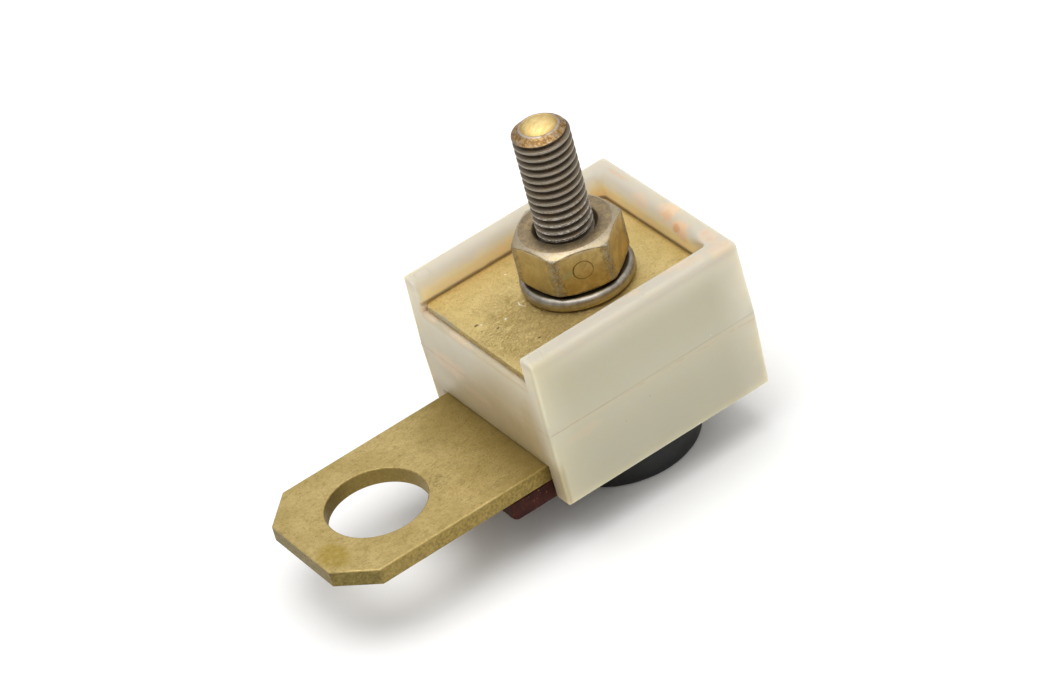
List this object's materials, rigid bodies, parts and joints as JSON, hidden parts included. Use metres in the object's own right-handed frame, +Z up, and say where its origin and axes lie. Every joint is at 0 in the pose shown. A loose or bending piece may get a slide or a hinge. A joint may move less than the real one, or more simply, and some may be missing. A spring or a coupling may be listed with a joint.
{
  "type": "battery monitor shunt",
  "caption": "Moulded block with a threaded load stud, nut and washer on a sheet terminal, shunt rods inside, and a flat battery terminal bar with a post hole.",
  "frame": {"origin": "centre of the bolt cap's flat base, on the stud's axis", "axes": "+Z runs up the stud, the terminal bar points along -X, and +Y is across the block"},
  "size_m": [0.0846, 0.0392, 0.067],
  "materials": {
    "ivory_nylon": "satin",
    "brass_sheet": "scratched satin",
    "brass_bar": "tarnished satin",
    "manganin": "drawn",
    "red_fibre": "satin",
    "phenolic": "matte",
    "black_rubber": "satin",
    "rolled_steel": "rolled, worn plating",
    "washer_steel": "satin",
    "yellow_zinc": "mottled yellow zinc"
  },
  "bodies": {
    "shunt_block": {"upper_housing": "ivory_nylon", "lower_housing": "ivory_nylon", "top_terminal_plate": "brass_sheet", "terminal_bar": "brass_bar", "resistor_rod_1": "manganin", "resistor_rod_2": "manganin", "resistor_rod_3": "manganin", "resistor_rod_4": "manganin", "resistor_rod_5": "manganin", "resistor_rod_6": "manganin", "bolt_sleeve": "phenolic", "base_insulator": "red_fibre", "terminal_bolt": "rolled_steel", "head_washer": "washer_steel", "bolt_cap": "black_rubber", "sense_pin_upper": "brass_sheet", "sense_pin_lower": "brass_sheet", "lead_grommet": "black_rubber"},
    "stud_washer_body": {"stud_washer": "washer_steel"},
    "lock_nut_body": {"lock_nut": "yellow_zinc"}
  },
  "joints": [
    {"name": "nut_lift", "type": "slide", "parent": "shunt_block", "child": "stud_washer_body", "axis": [0, 0, 1], "range_m": [0, 0.018]},
    {"name": "nut_turn", "type": "hinge", "parent": "stud_washer_body", "child": "lock_nut_body", "pos_m": [0, 0, 0.0415], "axis": [0, 0, 1], "range_deg": [0, 4320]}
  ],
  "couplings": [
    {"joint": "nut_lift", "follows": "nut_turn", "m_per_rad": 0.0002387}
  ]
}
